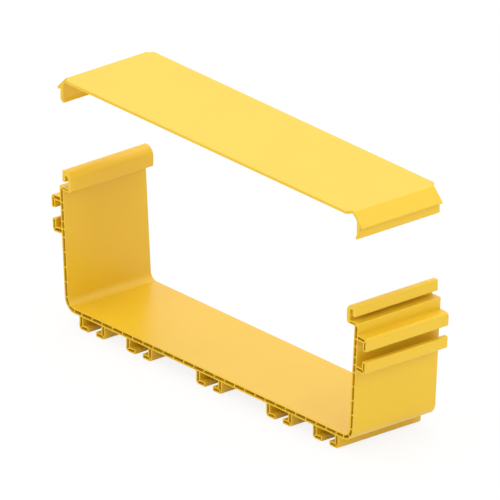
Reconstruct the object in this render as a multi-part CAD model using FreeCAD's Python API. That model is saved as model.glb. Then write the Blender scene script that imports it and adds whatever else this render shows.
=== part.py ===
import FreeCAD, Part
import math
import os

# A short cut length of wide fibre cable raceway, in two pieces. The channel is a
# hollow-wall extrusion with T-slot rails under its floor and on its sides. The cover
# snaps on its two rims, and is held straight above it, as when just lifted off.
# Millimetres. X runs across the channel, Y along it and Z up. The origin is under the
# middle of the channel, on the plane that the rails stand on.

# The channel's trough, and the twin-skin panels with webs that its floor and walls are
inner_width = 300.0
inner_depth = 99.5
channel_length = 74.0
wall_lean = 4.0
panel = 4.0
skin = 0.9
web = 0.8
cell_pitch = 10.9
bend_radius = 6.5

# The T-slot rails, five under the floor and one on each wall
rail_width = 27.4
rail_depth = 9.4
rail_leg = 3.9
rail_lip = 3.5
rail_mouth = 8.2
rail_radius = 2.0
rail_inset = 25.0
rail_spacing = 50.0
side_rail_drop = 34.5

# The rims: an inward ledge on each wall, an upright on it, and a hook that curls outwards
rim_inset = 2.3
rim_height = 12.3
rim_leg = 3.2
rim_slot = 3.2
rim_hook = 2.9
rim_roof = 3.6
rim_round = 6.8
hook_round = 1.0
slot_round = 2.8
ledge = 2.7
ledge_end = 2.7
snap_room = 3.9
rim_foot_round = 2.0
edge_round = 0.5

# The cover: a flat plate, sloping shoulders with drip lips, and legs with barbed feet
end_gap = 1.0
tongue = 3.6
tongue_inset = 1.8
tongue_chamfer = 2.3
plate = 2.2
peak_round = 3.0
head_room = 5.8
shoulder_slope = 45.0
shoulder_run = 9.8
shoulder = 2.0
drip_reach = 3.5
drip_lip = 2.0
cover_leg = 3.1
foot_rise = 2.0
foot_round = 2.5
barb = 1.7
barb_nose = 0.9
fit_gap = 0.2
lift = 61.6

# The most of an edge that the arcs at its two ends may take
arc_share = 0.98

# Heights and places that follow from the sizes
lean = math.radians(wall_lean)
half_width = inner_width / 2
underside = rail_depth
floor_top = underside + panel
rim_top = floor_top + inner_depth
ledge_top = rim_top - rim_height
ledge_under = ledge_top - ledge
hook_tip = ledge_top + snap_room
rim_in = half_width - rim_inset
slot_in = rim_in + rim_leg
slot_out = slot_in + rim_slot
rim_out = slot_out + rim_hook
bend_reach = bend_radius * math.tan((math.pi / 2 - lean) / 2)
half_rail = rail_width / 2


def point(x, z):
    return FreeCAD.Vector(x, 0, z)


# The floor and the right wall, each as a start point, a direction along it and one out of it
floor_frame = (point(0, underside), point(1, 0), point(0, -1))
wall_up = point(math.sin(lean), math.cos(lean))
wall_out = point(math.cos(lean), -math.sin(lean))
wall_frame = (point(half_width, floor_top) + wall_out * panel, wall_up, wall_out)


def on_panel(frame, corners):
    """Corners given as (distance along a panel, distance out of it, radius), put in place."""
    start, along, out = frame
    return [(start + along * run + out * rise, radius) for run, rise, radius in corners]


def mirrored(corners):
    """The same corners on the other side of the middle, in the opposite order."""
    return [(point(-corner.x, corner.z), radius) for corner, radius in reversed(corners)]


def outline(corners):
    """Closed wire through (point, radius) corners; arcs too big for an edge share it."""
    count = len(corners)
    runs = [corners[(index + 1) % count][0] - corners[index][0] for index in range(count)]
    half_turns = [runs[index - 1].getAngle(runs[index]) / 2 for index in range(count)]
    reaches = [radius * math.tan(turn) for (corner, radius), turn in zip(corners, half_turns)]
    for index in range(count):
        wanted = reaches[index - 1] + reaches[index]
        room = arc_share * runs[index - 1].Length
        if wanted > room:
            reaches[index - 1] *= room / wanted
            reaches[index] *= room / wanted
    directions = [run.normalize() for run in runs]
    starts = []
    ends = []
    for index, (corner, radius) in enumerate(corners):
        starts.append(corner - directions[index - 1] * reaches[index])
        ends.append(corner + directions[index] * reaches[index])
    edges = []
    for index, (corner, radius) in enumerate(corners):
        edges.append(Part.LineSegment(ends[index - 1], starts[index]).toShape())
        if reaches[index] > 0:
            inward = (directions[index] - directions[index - 1]).normalize()
            middle = corner + inward * reaches[index] * math.tan(half_turns[index] / 2)
            edges.append(Part.Arc(starts[index], middle, ends[index]).toShape())
    return Part.Wire(edges)


def cell(frame, corners):
    """The outline of one hollow cell, its corners given on a panel."""
    return outline(on_panel(frame, [(run, rise, 0) for run, rise in corners]))


def panel_cells(frame, webs):
    """The cells between the two skins of a panel, one between each web and the next."""
    cells = []
    for web_before, web_after in zip(webs, webs[1:]):
        start = web_before + web / 2
        end = web_after - web / 2
        cells.append(cell(frame, [(start, -skin), (end, -skin), (end, skin - panel), (start, skin - panel)]))
    return cells


def second_hook(middle):
    """Corners of the hook that closes a rail, from its root in the slot to its outer root."""
    inside = middle + half_rail - rail_leg
    tip = middle + rail_mouth / 2
    outside = middle + half_rail
    return [
        (inside, 0, 0),
        (inside, rail_depth - rail_lip, edge_round),
        (tip, rail_depth - rail_lip, edge_round),
        (tip, rail_depth, edge_round),
        (outside, rail_depth, rail_radius),
        (outside, 0, edge_round),
    ]


def whole_rail(middle):
    """Corners of both hooks of a rail, in the order of travel along the panel."""
    closing = second_hook(middle)
    opening = [(2 * middle - run, rise, radius) for run, rise, radius in reversed(closing)]
    return opening + closing


def rail_cells(frame, middle):
    """The two cells in each hook of a rail, parted by a web across the corner."""
    inside = half_rail - rail_leg
    tilt = rail_lip / rail_leg
    web_rise = web / 2 * math.hypot(rail_leg, rail_lip) / rail_leg
    leg_near = inside + skin
    leg_far = half_rail - skin
    lip_top = rail_depth - rail_lip + skin
    lip_bottom = rail_depth - skin
    lip_end = rail_mouth / 2 + skin

    def corner_line(run):
        return rail_depth - rail_lip + (run - inside) * tilt

    def corner_run(rise):
        return inside + (rise - web_rise - rail_depth + rail_lip) / tilt

    leg_cell = [
        (leg_near, 0),
        (leg_far, 0),
        (leg_far, corner_line(leg_far) - web_rise),
        (leg_near, corner_line(leg_near) - web_rise),
    ]
    lip_cell = [
        (lip_end, lip_top),
        (corner_run(lip_top), lip_top),
        (corner_run(lip_bottom), lip_bottom),
        (lip_end, lip_bottom),
    ]
    cells = []
    for side in (-1, 1):
        for corners in (leg_cell, lip_cell):
            cells.append(cell(frame, [(middle + side * run, rise) for run, rise in corners]))
    return cells


def bend_cells():
    """The two cells in the bend between the floor and the right wall."""
    centre = point(half_width - bend_reach, floor_top + bend_radius)
    near = bend_radius + skin
    far = bend_radius + panel - skin
    turn = math.pi / 2 - lean
    web_angle = web / (near + far)
    cells = []
    for index in range(2):
        start = turn * index / 2 + web_angle
        end = turn * (index + 1) / 2 - web_angle
        spokes = [point(math.sin(angle), -math.cos(angle)) for angle in (start, (start + end) / 2, end)]
        inner = [centre + spoke * near for spoke in spokes]
        outer = [centre + spoke * far for spoke in spokes]
        cells.append(Part.Wire([
            Part.Arc(*inner).toShape(),
            Part.LineSegment(inner[2], outer[2]).toShape(),
            Part.Arc(*reversed(outer)).toShape(),
            Part.LineSegment(outer[0], inner[0]).toShape(),
        ]))
    return cells


def rail_places():
    """Middles of the rails right of the centre one, from the wall inwards."""
    places = []
    place = half_width - rail_inset
    while place > rail_width:
        places.append(place)
        place -= rail_spacing
    return places


def height_on_wall(height):
    """Distance along the wall's outer face at which it reaches a height."""
    return (height - wall_frame[0].z) / wall_up.z


def wall_face(height, depth):
    """The point at a height, that far inside the right wall's outer face."""
    start, along, out = wall_frame
    face = start - out * depth
    return face + along * ((height - face.z) / along.z)


def channel_outline():
    """The outside of the channel's section, hooks and rims included."""
    right = on_panel(floor_frame, second_hook(0))
    for place in reversed(rail_places()):
        right += on_panel(floor_frame, whole_rail(place))
    bend_corner = wall_face(underside, 0)
    right.append((bend_corner, bend_radius + panel))
    side_rail = height_on_wall(rim_top - side_rail_drop)
    right += on_panel(wall_frame, whole_rail(side_rail))
    right += [
        (wall_face(ledge_top, 0), edge_round),
        (point(slot_in, ledge_top), edge_round),
        (point(slot_in, rim_top - rim_roof), slot_round),
        (point(slot_out, rim_top - rim_roof), edge_round),
        (point(slot_out, hook_tip), edge_round),
        (point(rim_out, hook_tip), edge_round),
        (point(rim_out, rim_top), hook_round),
        (point(rim_in, rim_top), rim_round),
        (point(rim_in, ledge_under), rim_foot_round),
        (wall_face(ledge_under, panel), edge_round),
        (point(half_width, floor_top), bend_radius),
    ]
    return outline(right + mirrored(right))


def side_cells():
    """The cells of the right wall, its rail, its bend and its ledge."""
    side_rail = height_on_wall(rim_top - side_rail_drop)
    plain_cells = int((side_rail - half_rail - bend_reach) / cell_pitch)
    webs = [bend_reach + index * cell_pitch for index in range(plain_cells + 1)]
    slot_edges = (rail_leg - half_rail, -rail_mouth / 2, rail_mouth / 2, half_rail - rail_leg)
    webs += [side_rail + edge for edge in slot_edges]
    webs.append(height_on_wall(ledge_under + skin / 2))
    cells = bend_cells() + panel_cells(wall_frame, webs) + rail_cells(wall_frame, side_rail)
    ledge_frame = (point(0, ledge_top), point(1, 0), point(0, 1))
    cell_end = wall_face(ledge_top, ledge_end).x
    cells.append(cell(ledge_frame, [
        (slot_in, -skin),
        (cell_end, -skin),
        (cell_end, skin - ledge),
        (slot_in, skin - ledge),
    ]))
    return cells


def floor_cells():
    """The cells of the floor, a whole pitch apart from the middle, and of its rails."""
    flat_end = half_width - bend_reach
    count = 2 * int(flat_end / cell_pitch - 1) + 1
    webs = [(index - count / 2) * cell_pitch for index in range(count + 1)]
    cells = panel_cells(floor_frame, [-flat_end] + webs + [flat_end])
    for place in rail_places():
        cells += rail_cells(floor_frame, place) + rail_cells(floor_frame, -place)
    return cells + rail_cells(floor_frame, 0)


def make_channel():
    right_cells = side_cells()
    left_cells = [wire.mirror(point(0, 0), point(1, 0)) for wire in right_cells]
    wires = [channel_outline()] + floor_cells() + right_cells + left_cells
    section = Part.makeFace(wires, "Part::FaceMakerBullseye")
    section.translate(FreeCAD.Vector(0, -channel_length / 2, 0))
    return section.extrude(FreeCAD.Vector(0, channel_length, 0))


def make_cover():
    """The cover as it sits on the rims, raised by the lift."""
    slope = math.radians(shoulder_slope)
    leg_in = rim_out + fit_gap
    leg_out = leg_in + cover_leg
    foot = ledge_top + fit_gap
    catch = hook_tip - fit_gap
    plate_under = rim_top + head_room
    plate_top = plate_under + plate
    drip_edge = leg_out + drip_reach
    peak = drip_edge - shoulder_run
    length = channel_length - 2 * end_gap

    def shoulder_height(x, depth):
        return plate_top - (x - peak) * math.tan(slope) - depth / math.cos(slope)

    drip_top = point(drip_edge, shoulder_height(drip_edge, 0))
    drip_bottom = drip_top - point(math.sin(slope), math.cos(slope)) * drip_lip
    hollow = peak + (plate - shoulder / math.cos(slope)) / math.tan(slope)
    right = [
        (point(hollow, plate_under), edge_round),
        (point(leg_in, shoulder_height(leg_in, shoulder)), edge_round),
        (point(leg_in, catch), 0),
        (point(leg_in - barb, foot + barb_nose), edge_round),
        (point(leg_in, foot), edge_round),
        (point(leg_out, foot + foot_rise), foot_round),
        (point(leg_out, shoulder_height(leg_out, drip_lip)), edge_round),
        (drip_bottom, edge_round),
        (drip_top, edge_round),
        (point(peak, plate_top), peak_round),
    ]
    section = Part.makeFace([outline(right + mirrored(right))], "Part::FaceMakerBullseye")
    section.translate(FreeCAD.Vector(0, -length / 2, 0))
    body = section.extrude(FreeCAD.Vector(0, length, 0))

    base = length / 2
    end = base + tongue
    wide = peak - tongue_inset
    narrow = wide - tongue_chamfer
    plan = [(wide, -base), (wide, base), (narrow, end), (-narrow, end)]
    plan += [(-x, -y) for x, y in plan]
    rim = [FreeCAD.Vector(x, y, plate_under) for x, y in plan]
    tongues = Part.Face(Part.makePolygon(rim + rim[:1])).extrude(FreeCAD.Vector(0, 0, plate))
    cover = body.fuse(tongues).removeSplitter()
    cover.translate(FreeCAD.Vector(0, 0, lift))
    return cover


pieces = {"raceway_channel": make_channel(), "snap_cover": make_cover()}
os.makedirs("parts", exist_ok=True)
for name, shape in pieces.items():
    print(f"{name}: valid {shape.isValid()}, solids {len(shape.Solids)}, volume {shape.Volume:.1f}")
    print(shape.BoundBox)
    shape.exportStep(f"parts/{name}.step")
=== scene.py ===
import math

import bpy
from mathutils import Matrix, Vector


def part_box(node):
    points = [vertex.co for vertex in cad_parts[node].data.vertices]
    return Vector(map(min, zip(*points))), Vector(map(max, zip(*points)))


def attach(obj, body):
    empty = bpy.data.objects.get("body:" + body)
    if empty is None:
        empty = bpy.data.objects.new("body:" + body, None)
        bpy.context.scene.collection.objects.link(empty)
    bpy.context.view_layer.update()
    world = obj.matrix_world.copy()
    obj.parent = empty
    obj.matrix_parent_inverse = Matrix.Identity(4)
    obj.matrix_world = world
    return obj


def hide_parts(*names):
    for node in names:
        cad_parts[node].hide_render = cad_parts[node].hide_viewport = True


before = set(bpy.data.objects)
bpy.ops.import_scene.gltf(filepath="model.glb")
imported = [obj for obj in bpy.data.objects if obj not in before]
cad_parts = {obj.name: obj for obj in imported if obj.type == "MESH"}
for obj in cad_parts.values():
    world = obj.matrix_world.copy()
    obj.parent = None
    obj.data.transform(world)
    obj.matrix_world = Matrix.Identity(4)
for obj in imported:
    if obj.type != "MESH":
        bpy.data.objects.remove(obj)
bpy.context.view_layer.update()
scene = bpy.context.scene
scene.view_settings.view_transform = "Standard"

# The view
# The photograph is a parallel projection: edges along the run stay parallel on it, and so do
# edges across it. Its two angles and its width were measured on the picture.
VIEW_AZIMUTH = math.radians(50)
VIEW_ELEVATION = math.radians(23)
VIEW_WIDTH = 0.3443
VIEW_CENTRE = Vector((-0.0001, 0, 0.0938))
VIEW_DISTANCE = 2.0


def towards(azimuth, elevation):
    """The direction from the object to an eye or a lamp. Azimuth 0 is in front, 90 to the right."""
    level = Vector((math.sin(azimuth), -math.cos(azimuth), 0))
    return level * math.cos(elevation) + Vector((0, 0, math.sin(elevation)))


def set_out(thing, direction, distance):
    """Puts a camera or a lamp out from the middle of the view, looking back at it."""
    thing.location = VIEW_CENTRE + direction * distance
    thing.rotation_mode = "QUATERNION"
    thing.rotation_quaternion = (-direction).to_track_quat("-Z", "Y")
    scene.collection.objects.link(thing)


camera = bpy.data.objects.new("camera", bpy.data.cameras.new("camera"))
camera.data.type = "ORTHO"
camera.data.ortho_scale = VIEW_WIDTH
set_out(camera, towards(VIEW_AZIMUTH, VIEW_ELEVATION), VIEW_DISTANCE)
scene.camera = camera

# The channel
# One hollow extrusion of rigid yellow PVC, pushed through a die and sawn square at both ends. Its
# floor and walls are two thin skins on webs. T-slot rails run under it and along its walls, and
# each wall top carries a solid rim with a hook, which the cover's barbs catch.
MM = 0.001
INNER_WIDTH = 300.0
WALL_LEAN = math.radians(4.0)
PANEL = 4.0
SKIN = 0.9
WEB = 0.8
CELL_PITCH = 10.9
CELL_ROUND = 0.3
BEND_RADIUS = 6.5
BEND_STEPS = 6
EDGE_ROUND = 0.5
ROOT_ROUND = 0.2

# The rails' outer corners are half a millimetre rounder than the solid's, as they look in the photo
RAIL_WIDTH = 27.4
RAIL_DEPTH = 9.4
RAIL_LEG = 3.9
RAIL_LIP = 3.5
RAIL_MOUTH = 8.2
RAIL_RADIUS = 2.5
RAIL_INSET = 25.0
RAIL_SPACING = 50.0
SIDE_RAIL_DROP = 34.5

RIM_INSET = 2.3
RIM_HEIGHT = 12.3
RIM_LEG = 3.2
RIM_SLOT = 3.2
RIM_HOOK = 2.9
RIM_ROOF = 3.6
RIM_ROUND = 6.8
HOOK_ROUND = 1.0
SLOT_ROUND = 2.6
RIM_FOOT_ROUND = 2.0
LEDGE = 2.7
LEDGE_END = 2.7
SNAP_ROOM = 3.9

channel_far_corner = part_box("raceway_channel")[1]
half_width = INNER_WIDTH / 2
half_rail = RAIL_WIDTH / 2
last_rail = half_width - RAIL_INSET
outer_rails = (last_rail - RAIL_SPACING, last_rail)
floor_top = RAIL_DEPTH + PANEL
rim_top = channel_far_corner.z / MM
ledge_top = rim_top - RIM_HEIGHT
ledge_under = ledge_top - LEDGE
hook_tip = ledge_top + SNAP_ROOM
rim_in = half_width - RIM_INSET
slot_in = rim_in + RIM_LEG
slot_out = slot_in + RIM_SLOT
rim_out = slot_out + RIM_HOOK
bend_turn = math.pi / 2 - WALL_LEAN
bend_reach = BEND_RADIUS * math.tan(bend_turn / 2)

# The floor's underside, the right wall's outside and the ledge's top: a start, a way along and a
# way out. In a section the first number runs across the channel, and the second up, in millimetres.
floor_panel = (Vector((0, RAIL_DEPTH)), Vector((1, 0)), Vector((0, -1)))
wall_up = Vector((math.sin(WALL_LEAN), math.cos(WALL_LEAN)))
wall_out = Vector((math.cos(WALL_LEAN), -math.sin(WALL_LEAN)))
wall_panel = (Vector((half_width, floor_top)) + wall_out * PANEL, wall_up, wall_out)
ledge_panel = (Vector((0, ledge_top)), Vector((1, 0)), Vector((0, 1)))


def on_panel(panel, corners):
    """Corners given as (distance along a panel, distance out of it, radius), put in place."""
    start, along, out = panel
    return [(start + along * run + out * rise, radius) for run, rise, radius in corners]


def mirrored(corners):
    """The same corners on the other side of the middle, in the opposite order."""
    return [(Vector((-corner.x, corner.y)), radius) for corner, radius in reversed(corners)]


def on_wall(height):
    """Distance along the wall's outside at which it reaches a height."""
    return (height - wall_panel[0].y) / wall_up.y


def wall_face(height, depth):
    """The point at a height, that far inside the right wall's outside."""
    face = wall_panel[0] - wall_out * depth
    return face + wall_up * ((height - face.y) / wall_up.y)


def second_hook(middle):
    """Corners of the hook that closes a rail, from its root in the slot to its outer root."""
    inside = middle + half_rail - RAIL_LEG
    tip = middle + RAIL_MOUTH / 2
    outside = middle + half_rail
    return [
        (inside, 0, ROOT_ROUND),
        (inside, RAIL_DEPTH - RAIL_LIP, EDGE_ROUND),
        (tip, RAIL_DEPTH - RAIL_LIP, EDGE_ROUND),
        (tip, RAIL_DEPTH, EDGE_ROUND),
        (outside, RAIL_DEPTH, RAIL_RADIUS),
        (outside, 0, ROOT_ROUND),
    ]


def whole_rail(middle):
    """Corners of both hooks of a rail, in the order of travel along the panel."""
    closing = second_hook(middle)
    opening = [(2 * middle - run, rise, radius) for run, rise, radius in reversed(closing)]
    return opening + closing


def channel_outline():
    """The outside of the channel's section, once round."""
    right = on_panel(floor_panel, second_hook(0))
    for rail in outer_rails:
        right += on_panel(floor_panel, whole_rail(rail))
    right.append((wall_face(RAIL_DEPTH, 0), BEND_RADIUS + PANEL))
    right += on_panel(wall_panel, whole_rail(side_rail))
    right += [
        (wall_face(ledge_top, 0), EDGE_ROUND),
        (Vector((slot_in, ledge_top)), EDGE_ROUND),
        (Vector((slot_in, rim_top - RIM_ROOF)), SLOT_ROUND),
        (Vector((slot_out, rim_top - RIM_ROOF)), EDGE_ROUND),
        (Vector((slot_out, hook_tip)), EDGE_ROUND),
        (Vector((rim_out, hook_tip)), EDGE_ROUND),
        (Vector((rim_out, rim_top)), HOOK_ROUND),
        (Vector((rim_in, rim_top)), RIM_ROUND),
        (Vector((rim_in, ledge_under)), RIM_FOOT_ROUND),
        (wall_face(ledge_under, PANEL), EDGE_ROUND),
        (Vector((half_width, floor_top)), BEND_RADIUS),
    ]
    return right + mirrored(right)


def box_cell(panel, start, end, thickness):
    """The hollow between the two skins of a panel, from one distance to another."""
    corners = [(start, -SKIN), (end, -SKIN), (end, SKIN - thickness), (start, SKIN - thickness)]
    return on_panel(panel, [(run, rise, CELL_ROUND) for run, rise in corners])


def bend_cell(start, end):
    """A curved hollow in the bend between the floor and the right wall, from angle to angle."""
    centre = Vector((half_width - bend_reach, floor_top + BEND_RADIUS))
    spokes = []
    for step in range(BEND_STEPS + 1):
        angle = start + (end - start) * step / BEND_STEPS
        radius = CELL_ROUND if step in (0, BEND_STEPS) else 0
        spokes.append((Vector((math.sin(angle), -math.cos(angle))), radius))
    inner = [(centre + spoke * (BEND_RADIUS + SKIN), radius) for spoke, radius in spokes]
    outer = [(centre + spoke * (BEND_RADIUS + PANEL - SKIN), radius) for spoke, radius in spokes]
    return inner + outer[::-1]


def hook_cells(side):
    """The two hollows in a hook of a floor rail at the middle, parted by a web across the corner."""
    inside = half_rail - RAIL_LEG
    lip_root = RAIL_DEPTH - RAIL_LIP
    tilt = RAIL_LIP / RAIL_LEG
    web_rise = WEB / 2 * math.hypot(1, tilt)
    leg_near = inside + SKIN
    leg_far = half_rail - SKIN
    lip_near = lip_root + SKIN
    lip_far = RAIL_DEPTH - SKIN
    lip_end = RAIL_MOUTH / 2 + SKIN
    leg_hollow = [(leg_near, 0), (leg_far, 0)]
    leg_hollow += [(run, lip_root + (run - inside) * tilt - web_rise) for run in (leg_far, leg_near)]
    lip_hollow = [(inside + (rise - lip_root - web_rise) / tilt, rise) for rise in (lip_near, lip_far)]
    lip_hollow += [(lip_end, lip_far), (lip_end, lip_near)]
    return [[(Vector((side * run, -rise)), CELL_ROUND) for run, rise in hollow]
            for hollow in (leg_hollow, lip_hollow)]


# Where the webs stand. The floor and the wall have whole cells at one pitch, and odd ones at the
# bend, and behind the side rail, whose hooks stand on webs.
side_rail = on_wall(rim_top - SIDE_RAIL_DROP)
flat_end = half_width - bend_reach
floor_count = 2 * int(flat_end / CELL_PITCH - 1) + 1
floor_end = floor_count / 2 * CELL_PITCH
wall_count = int((side_rail - half_rail - bend_reach) / CELL_PITCH)
wall_end = bend_reach + wall_count * CELL_PITCH
wall_webs = [wall_end]
for edge in (RAIL_LEG - half_rail, -RAIL_MOUTH / 2, RAIL_MOUTH / 2, half_rail - RAIL_LEG):
    wall_webs.append(side_rail + edge)
wall_webs.append(on_wall(ledge_under + SKIN / 2))

# Half the angle that a web takes up in the bend
bend_web = WEB / (2 * BEND_RADIUS + PANEL)
odd_cells = [
    bend_cell(bend_web, bend_turn / 2 - bend_web),
    bend_cell(bend_turn / 2 + bend_web, bend_turn - bend_web),
    box_cell(ledge_panel, slot_in, wall_face(ledge_top, LEDGE_END).x, LEDGE),
    box_cell(floor_panel, floor_end + WEB / 2, flat_end - WEB / 2, PANEL),
]
for before, after in zip(wall_webs, wall_webs[1:]):
    odd_cells.append(box_cell(wall_panel, before + WEB / 2, after - WEB / 2, PANEL))

# What a drawing says of each of its points: what its line or the point itself stands for, the
# radius of a corner in millimetres, and how far a cell or a rail set there is turned
LINE, HOOK_LINE, CELL_PLACE, RAIL_PLACE = range(4)
POINT_FACTS = {"kind": "INT", "round": "FLOAT", "turn": "FLOAT"}

channel_lines = [(LINE, channel_outline())]
for cell in odd_cells:
    channel_lines += [(LINE, cell), (LINE, mirrored(cell))]
for side in (-1, 1):
    channel_lines += [(HOOK_LINE, cell) for cell in hook_cells(side)]

channel_places = [(RAIL_PLACE, Vector((0, RAIL_DEPTH)), 0)]
for index in range(floor_count):
    middle = (index + 0.5) * CELL_PITCH - floor_end
    channel_places.append((CELL_PLACE, Vector((middle, RAIL_DEPTH + PANEL / 2)), 0))
for side in (-1, 1):
    for rail in outer_rails:
        channel_places.append((RAIL_PLACE, Vector((side * rail, RAIL_DEPTH)), 0))
    for index in range(wall_count):
        spot = wall_panel[0] + wall_up * (bend_reach + (index + 0.5) * CELL_PITCH) - wall_out * (PANEL / 2)
        channel_places.append((CELL_PLACE, Vector((side * spot.x, spot.y)), side * bend_turn))
    spot = wall_panel[0] + wall_up * side_rail
    channel_places.append((RAIL_PLACE, Vector((side * spot.x, spot.y)), side * bend_turn))


def drawing(name, lines, places):
    """An object whose mesh is a section: closed lines with a radius at each corner, and points."""
    points = []
    edges = []
    for kind, line in lines:
        first = len(points)
        edges += [(first + index, first + (index + 1) % len(line)) for index in range(len(line))]
        points += [(corner, kind, radius, 0) for corner, radius in line]
    points += [(spot, kind, 0, turn) for kind, spot, turn in places]
    mesh = bpy.data.meshes.new(name)
    mesh.from_pydata([(point[0].x * MM, point[0].y * MM, 0) for point in points], edges, [])
    for column, (fact, sort) in enumerate(POINT_FACTS.items(), start=1):
        values = [point[column] for point in points]
        mesh.attributes.new(fact, sort, "POINT").data.foreach_set("value", values)
    drawn = bpy.data.objects.new(name, mesh)
    scene.collection.objects.link(drawn)
    return drawn


def add_node(tree, kind, inputs, **settings):
    """Adds a node. An input is a plain value, a feed, or a list of feeds. A feed is the socket that
    the value comes from, or a node, whose first socket it then is."""
    node = tree.nodes.new(kind)
    for name, value in settings.items():
        setattr(node, name, value)
    for key, value in inputs.items():
        for feed in value if isinstance(value, list) else [value]:
            if isinstance(feed, bpy.types.Node):
                feed = feed.outputs[0]
            if isinstance(feed, bpy.types.NodeSocket):
                tree.links.new(feed, node.inputs[key])
            else:
                node.inputs[key].default_value = feed
    return node


# The die's rule. Whole cells and hooks are set at their places, every corner gets its radius, and
# the section is filled and pushed along Y.
ARC_STEPS = 2.0
ARC_STEPS_PER_ROOT_MM = 6.0
WELD = 0.000001
SAWN_FACING = 0.5

# Where the Compare node takes the two whole numbers that it compares
COMPARED_WHOLE_NUMBERS = (2, 3)


def extrusion_tree():
    """The tree that makes a solid of a drawing, with its sizes and its two finishes as inputs."""
    tree = bpy.data.node_groups.new("extrusion", "GeometryNodeTree")
    sockets = {
        "Section": "Geometry",
        "Length": "Float",
        "Cell Pitch": "Float",
        "Web": "Float",
        "Panel": "Float",
        "Skin": "Float",
        "Cell Round": "Float",
        "Drawn Face": "Material",
        "Sawn Face": "Material",
    }
    for label, sort in sockets.items():
        tree.interface.new_socket(label, in_out="INPUT", socket_type=f"NodeSocket{sort}")
    tree.interface.new_socket("Piece", in_out="OUTPUT", socket_type="NodeSocketGeometry")
    given = add_node(tree, "NodeGroupInput", {}).outputs
    facts = {}
    for fact, sort in POINT_FACTS.items():
        facts[fact] = add_node(tree, "GeometryNodeInputNamedAttribute", {"Name": fact}, data_type=sort)

    def drawn_as(kind):
        """What stands in the drawing for one kind of thing."""
        first, second = COMPARED_WHOLE_NUMBERS
        same = add_node(tree, "FunctionNodeCompare", {
            first: facts["kind"], second: kind,
        }, data_type="INT", operation="EQUAL")
        return add_node(tree, "GeometryNodeSeparateGeometry", {
            "Geometry": given["Section"], "Selection": same,
        }, domain="POINT")

    def repeated(kind, shape):
        """A shape set at every place of one kind, and turned as the place says."""
        around = add_node(tree, "ShaderNodeCombineXYZ", {"Z": facts["turn"]})
        return add_node(tree, "GeometryNodeInstanceOnPoints", {
            "Points": drawn_as(kind), "Instance": shape, "Rotation": around,
        })

    cell_width = add_node(tree, "ShaderNodeMath", {
        0: given["Cell Pitch"], 1: given["Web"],
    }, operation="SUBTRACT")
    cell_height = add_node(tree, "ShaderNodeMath", {
        0: given["Skin"], 1: -2.0, 2: given["Panel"],
    }, operation="MULTIPLY_ADD")
    cell = add_node(tree, "GeometryNodeCurvePrimitiveQuadrilateral", {
        "Width": cell_width, "Height": cell_height,
    })
    cell = add_node(tree, "GeometryNodeStoreNamedAttribute", {
        "Geometry": cell, "Name": "round", "Value": given["Cell Round"],
    }, data_type="FLOAT", domain="POINT")
    hook = add_node(tree, "GeometryNodeMeshToCurve", {"Mesh": drawn_as(HOOK_LINE)})
    lines = add_node(tree, "GeometryNodeJoinGeometry", {0: [
        add_node(tree, "GeometryNodeMeshToCurve", {"Mesh": drawn_as(LINE)}),
        repeated(CELL_PLACE, cell),
        repeated(RAIL_PLACE, hook),
    ]})
    lines = add_node(tree, "GeometryNodeRealizeInstances", {0: lines})

    radius = add_node(tree, "ShaderNodeMath", {0: facts["round"], 1: MM}, operation="MULTIPLY")
    root = add_node(tree, "ShaderNodeMath", {0: facts["round"]}, operation="SQRT")
    steps = add_node(tree, "ShaderNodeMath", {
        0: root, 1: ARC_STEPS_PER_ROOT_MM, 2: ARC_STEPS,
    }, operation="MULTIPLY_ADD")
    lines = add_node(tree, "GeometryNodeFilletCurve", {
        "Curve": lines, "Radius": radius, "Count": steps, "Limit Radius": True,
    }, mode="POLY")
    section = add_node(tree, "GeometryNodeFillCurve", {0: lines}, mode="TRIANGLES")

    half_back = add_node(tree, "ShaderNodeMath", {0: given["Length"], 1: -0.5}, operation="MULTIPLY")
    back = add_node(tree, "ShaderNodeCombineXYZ", {"Z": half_back})
    push = add_node(tree, "ShaderNodeCombineXYZ", {"Z": given["Length"]})
    start = add_node(tree, "GeometryNodeTransform", {"Geometry": section, "Translation": back})
    sides = add_node(tree, "GeometryNodeExtrudeMesh", {
        "Mesh": start, "Offset": push, "Individual": False,
    }, mode="FACES")
    closing = add_node(tree, "GeometryNodeFlipFaces", {0: start})
    solid = add_node(tree, "GeometryNodeJoinGeometry", {0: [sides, closing]})
    solid = add_node(tree, "GeometryNodeMergeByDistance", {0: solid, "Distance": WELD})
    solid = add_node(tree, "GeometryNodeTransform", {
        "Geometry": solid, "Rotation": (math.pi / 2, 0, 0),
    })

    facing = add_node(tree, "GeometryNodeInputNormal", {})
    along = add_node(tree, "ShaderNodeSeparateXYZ", {0: facing}).outputs["Y"]
    either_end = add_node(tree, "ShaderNodeMath", {0: along}, operation="ABSOLUTE")
    sawn = add_node(tree, "ShaderNodeMath", {0: either_end, 1: SAWN_FACING}, operation="GREATER_THAN")
    solid = add_node(tree, "GeometryNodeRealizeInstances", {0: solid})
    solid = add_node(tree, "GeometryNodeSetMaterial", {0: solid, "Material": given["Drawn Face"]})
    solid = add_node(tree, "GeometryNodeSetMaterial", {
        0: solid, "Selection": sawn, "Material": given["Sawn Face"],
    })
    add_node(tree, "NodeGroupOutput", {0: solid})
    return tree


extrusion = extrusion_tree()

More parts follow.
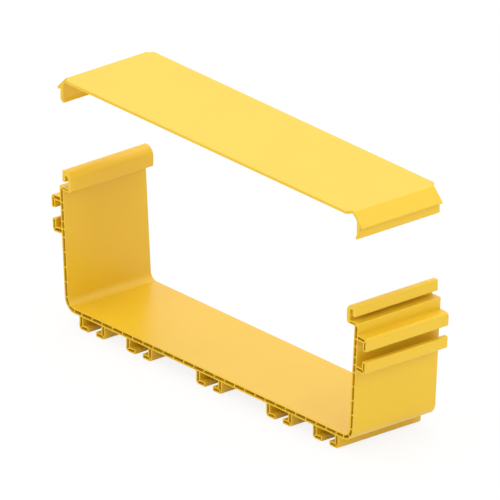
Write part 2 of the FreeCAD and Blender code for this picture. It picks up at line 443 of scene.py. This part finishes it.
# Rigid PVC, as extruded. The die leaves its faces satin, with hair-fine lines along the run, and
# the saw leaves its ends dull, with fine rings. Both are drawn coarser than they are, so they show.
PVC_YELLOW = "#E7BD25"
PVC_IOR = 1.46
DRAWN_ROUGHNESS = 0.36
SAWN_ROUGHNESS = 0.55
DIE_LINE_SPACING = 1.2
DIE_LINE_LENGTH = 200.0
DIE_LINE_DEPTH = 0.008
DIE_LINE_DETAIL = 3
DIE_LINE_UNEVENNESS = 0.6
SAW_RING_SPACING = 8.8
SAW_RING_DEPTH = 0.04
SAW_RING_WOBBLE = 1.5
SAW_RING_DETAIL = 2
SHADE_PATCH = 50.0
SHADE_STEP = 0.03
SHADE_DETAIL = 2

# The wave texture's phase, in radians, over one unit of its scaled place
WAVE_PHASE_PER_UNIT = 20


def linear(colour):
    """A hex colour as it is written for a screen, turned to the light that it stands for."""
    screen = [int(colour[digit:digit + 2], 16) / 255 for digit in (1, 3, 5)]
    light = [c / 12.92 if c <= 0.04045 else ((c + 0.055) / 1.055) ** 2.4 for c in screen]
    return (*light, 1)


def rigid_pvc(name, roughness):
    """Yellow PVC with a faint drift of shade. Gives the material, its tree and its place socket."""
    material = bpy.data.materials.new(name)
    material.use_nodes = True
    tree = material.node_tree
    surface = tree.nodes["Principled BSDF"]
    surface.inputs["IOR"].default_value = PVC_IOR
    surface.inputs["Roughness"].default_value = roughness
    place = add_node(tree, "ShaderNodeTexCoord", {}).outputs["Object"]
    patches = add_node(tree, "ShaderNodeTexNoise", {
        "Vector": place, "Scale": 1 / (SHADE_PATCH * MM), "Detail": SHADE_DETAIL,
    }).outputs["Fac"]
    shade = add_node(tree, "ShaderNodeMapRange", {
        "Value": patches, "To Min": 1 - SHADE_STEP, "To Max": 1 + SHADE_STEP,
    })
    colour = add_node(tree, "ShaderNodeHueSaturation", {"Color": linear(PVC_YELLOW), "Value": shade})
    tree.links.new(colour.outputs[0], surface.inputs["Base Color"])
    return material, tree, place


def marked(tree, marks, depth):
    """Cuts a pattern of marks into the surface, to a depth in millimetres."""
    relief = add_node(tree, "ShaderNodeBump", {"Height": marks, "Distance": depth * MM})
    tree.links.new(relief.outputs[0], tree.nodes["Principled BSDF"].inputs["Normal"])


drawn_pvc, tree, place = rigid_pvc("satin_extruded_pvc", DRAWN_ROUGHNESS)
across = 1 / (DIE_LINE_SPACING * MM)
stretched = add_node(tree, "ShaderNodeMapping", {
    "Vector": place, "Scale": (across, 1 / (DIE_LINE_LENGTH * MM), across),
})
die_lines = add_node(tree, "ShaderNodeTexNoise", {
    "Vector": stretched, "Scale": 1, "Detail": DIE_LINE_DETAIL, "Roughness": DIE_LINE_UNEVENNESS,
}).outputs["Fac"]
marked(tree, die_lines, DIE_LINE_DEPTH)

sawn_pvc, tree, place = rigid_pvc("sawn_pvc", SAWN_ROUGHNESS)
saw_rings = add_node(tree, "ShaderNodeTexWave", {
    "Vector": place,
    "Scale": 2 * math.pi / (SAW_RING_SPACING * MM * WAVE_PHASE_PER_UNIT),
    "Distortion": SAW_RING_WOBBLE,
    "Detail": SAW_RING_DETAIL,
}, wave_type="RINGS", rings_direction="Y").outputs["Fac"]
marked(tree, saw_rings, SAW_RING_DEPTH)

# A turn from face to face that is sharper than this stays a crisp edge
SHARP_TURN = math.radians(35)


def plain(piece):
    """Gives an object the mesh that its modifiers make of it, and takes them off."""
    graph = bpy.context.evaluated_depsgraph_get()
    mesh = bpy.data.meshes.new_from_object(piece.evaluated_get(graph))
    mesh.name = piece.name
    piece.modifiers.clear()
    piece.data = mesh


def extrude(piece, length):
    """Runs the die's rule on a drawing, which becomes the solid, that long in millimetres."""
    modifier = piece.modifiers.new("extrusion", "NODES")
    modifier.node_group = extrusion
    values = {
        "Length": length * MM,
        "Cell Pitch": CELL_PITCH * MM,
        "Web": WEB * MM,
        "Panel": PANEL * MM,
        "Skin": SKIN * MM,
        "Cell Round": CELL_ROUND,
        "Drawn Face": drawn_pvc,
        "Sawn Face": sawn_pvc,
    }
    for socket in extrusion.interface.items_tree:
        if socket.name in values:
            modifier[socket.identifier] = values[socket.name]
    plain(piece)


def finished(piece, node):
    """Smooths the arcs, keeps flats flat and corners crisp, and puts the piece in its node's place."""
    piece.data.shade_smooth()
    piece.data.set_sharp_from_angle(angle=SHARP_TURN)
    piece.modifiers.new("flats", "WEIGHTED_NORMAL").keep_sharp = True
    plain(piece)
    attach(piece, "root")
    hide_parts(node)


channel = drawing("channel_extrusion", channel_lines, channel_places)
extrude(channel, 2 * channel_far_corner.y / MM)
finished(channel, "raceway_channel")

# The cover
# A solid extrusion of the same PVC: a flat plate, sloping shoulders that end in drip lips, and two
# legs with barbs. Shoulders and legs are milled back at both ends, where the plate runs on as a
# tongue. It is held straight above the channel here, as when just lifted off.
TONGUE = 3.6
TONGUE_INSET = 1.8
TONGUE_CHAMFER = 2.3
PLATE = 2.2
PEAK_ROUND = 3.0
HEAD_ROOM = 5.8
SHOULDER_SLOPE = math.radians(45)
SHOULDER_RUN = 9.8
SHOULDER = 2.0
DRIP_REACH = 3.5
DRIP_LIP = 2.0
COVER_LEG = 3.1
FOOT_RISE = 2.0
FOOT_ROUND = 2.5
BARB = 1.7
BARB_NOSE = 0.9
FIT_GAP = 0.2
MILL_ROOM = 5.0

cover_far_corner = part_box("snap_cover")[1]
plate_top = cover_far_corner.z / MM
tongue_end = cover_far_corner.y / MM
milled_end = tongue_end - TONGUE
lift = plate_top - PLATE - HEAD_ROOM - rim_top
leg_in = rim_out + FIT_GAP
leg_out = leg_in + COVER_LEG
foot = ledge_top + FIT_GAP + lift
catch = hook_tip - FIT_GAP + lift
drip_edge = leg_out + DRIP_REACH
peak = drip_edge - SHOULDER_RUN
hollow = peak + (PLATE - SHOULDER / math.cos(SHOULDER_SLOPE)) / math.tan(SHOULDER_SLOPE)


def shoulder_height(run, depth):
    """Height of the shoulder at a distance from the middle, that far under its upper face."""
    return plate_top - (run - peak) * math.tan(SHOULDER_SLOPE) - depth / math.cos(SHOULDER_SLOPE)


drip_top = Vector((drip_edge, shoulder_height(drip_edge, 0)))
drip_bottom = drip_top - Vector((math.sin(SHOULDER_SLOPE), math.cos(SHOULDER_SLOPE))) * DRIP_LIP
right_side = [
    (Vector((hollow, plate_top - PLATE)), EDGE_ROUND),
    (Vector((leg_in, shoulder_height(leg_in, SHOULDER))), EDGE_ROUND),
    (Vector((leg_in, catch)), 0),
    (Vector((leg_in - BARB, foot + BARB_NOSE)), EDGE_ROUND),
    (Vector((leg_in, foot)), EDGE_ROUND),
    (Vector((leg_out, foot + FOOT_RISE)), FOOT_ROUND),
    (Vector((leg_out, shoulder_height(leg_out, DRIP_LIP))), EDGE_ROUND),
    (drip_bottom, EDGE_ROUND),
    (drip_top, EDGE_ROUND),
    (Vector((peak, plate_top)), PEAK_ROUND),
]
cover = drawing("cover_extrusion", [(LINE, right_side + mirrored(right_side))], [])
extrude(cover, 2 * (tongue_end + MILL_ROOM))


def milling_block():
    """The block that is left of the cover once its ends are milled: its outline seen from above."""
    side = drip_edge + MILL_ROOM
    wide = peak - TONGUE_INSET
    end = [(side, milled_end), (wide, milled_end), (wide - TONGUE_CHAMFER, tongue_end)]
    half = end + [(-run, length) for run, length in reversed(end)]
    outline = half + [(-run, -length) for run, length in half]
    count = len(outline)
    corners = []
    for height in (foot - MILL_ROOM, plate_top + MILL_ROOM):
        corners += [(run * MM, length * MM, height * MM) for run, length in outline]
    faces = [list(range(count))[::-1], list(range(count, 2 * count))]
    for index in range(count):
        after = (index + 1) % count
        faces.append([index, after, after + count, index + count])
    mesh = bpy.data.meshes.new("milling_block")
    mesh.from_pydata(corners, [], faces)
    mesh.materials.append(sawn_pvc)
    block = bpy.data.objects.new("milling_block", mesh)
    scene.collection.objects.link(block)
    return block


block = milling_block()
milling = cover.modifiers.new("milling", "BOOLEAN")
milling.operation = "INTERSECT"
milling.solver = "EXACT"
milling.material_mode = "TRANSFER"
milling.object = block
plain(cover)
bpy.data.objects.remove(block)
finished(cover, "snap_cover")

# The floor and the light
# A plain white floor under an even white sky. The camera and the gloss see both as white, but the
# floor keeps a share of the object's soft shadow. Seven broad lamps stand round the object, each
# with its turn from the front towards the right and its rise, in degrees, and its watts.
FLOOR_SIZE = 6.0
FLOOR_WHITE = "#F8F8F8"
FLOOR_ROUGHNESS = 0.9
FLOOR_GLOW = 0.85
SKY_WHITE = "#FFFFFF"
SKY_LIGHT = 0.58
SKY_SHOWN = 1.0
LAMP_DISTANCE = 2.0
LAMP_SIZE = 1.2
LAMPS = {
    "low_back_left": (-120, 15, 1.2),
    "back_left": (-150, 65, 11),
    "left": (-60, 60, 7.5),
    "front": (0, 40, 9),
    "camera_side": (60, 15, 2.0),
    "right": (90, 40, 8.6),
    "back_right": (150, 40, 4.2),
}


def background_rays(tree):
    """A node that gives 1 for the rays that show the background: straight, mirrored or refracted."""
    path = add_node(tree, "ShaderNodeLightPath", {})
    seen = path.outputs["Is Camera Ray"]
    for ray in ("Is Glossy Ray", "Is Transmission Ray"):
        seen = add_node(tree, "ShaderNodeMath", {0: seen, 1: path.outputs[ray]}, operation="MAXIMUM")
    return seen


bpy.ops.mesh.primitive_plane_add(size=FLOOR_SIZE)
floor = bpy.context.object
floor.name = "floor"
floor_paint = bpy.data.materials.new("white_floor_paint")
floor_paint.use_nodes = True
tree = floor_paint.node_tree
paint = tree.nodes["Principled BSDF"]
paint.inputs["Base Color"].default_value = linear(FLOOR_WHITE)
paint.inputs["Roughness"].default_value = FLOOR_ROUGHNESS
glow = add_node(tree, "ShaderNodeEmission", {})
share = add_node(tree, "ShaderNodeMath", {0: background_rays(tree), 1: FLOOR_GLOW}, operation="MULTIPLY")
shown = add_node(tree, "ShaderNodeMixShader", {0: share, 1: paint, 2: glow})
tree.links.new(shown.outputs[0], tree.nodes["Material Output"].inputs["Surface"])
floor.data.materials.append(floor_paint)

world = bpy.data.worlds.new("white_sky")
world.use_nodes = True
tree = world.node_tree
strength = add_node(tree, "ShaderNodeMapRange", {
    "Value": background_rays(tree), "To Min": SKY_LIGHT, "To Max": SKY_SHOWN,
})
sky = tree.nodes["Background"]
sky.inputs["Color"].default_value = linear(SKY_WHITE)
tree.links.new(strength.outputs[0], sky.inputs["Strength"])
scene.world = world

for name, (turn, rise, watts) in LAMPS.items():
    lamp = bpy.data.objects.new(f"{name}_lamp", bpy.data.lights.new(f"{name}_lamp", "AREA"))
    lamp.data.shape = "DISK"
    lamp.data.size = LAMP_SIZE
    lamp.data.energy = watts
    set_out(lamp, towards(math.radians(turn), math.radians(rise)), LAMP_DISTANCE)
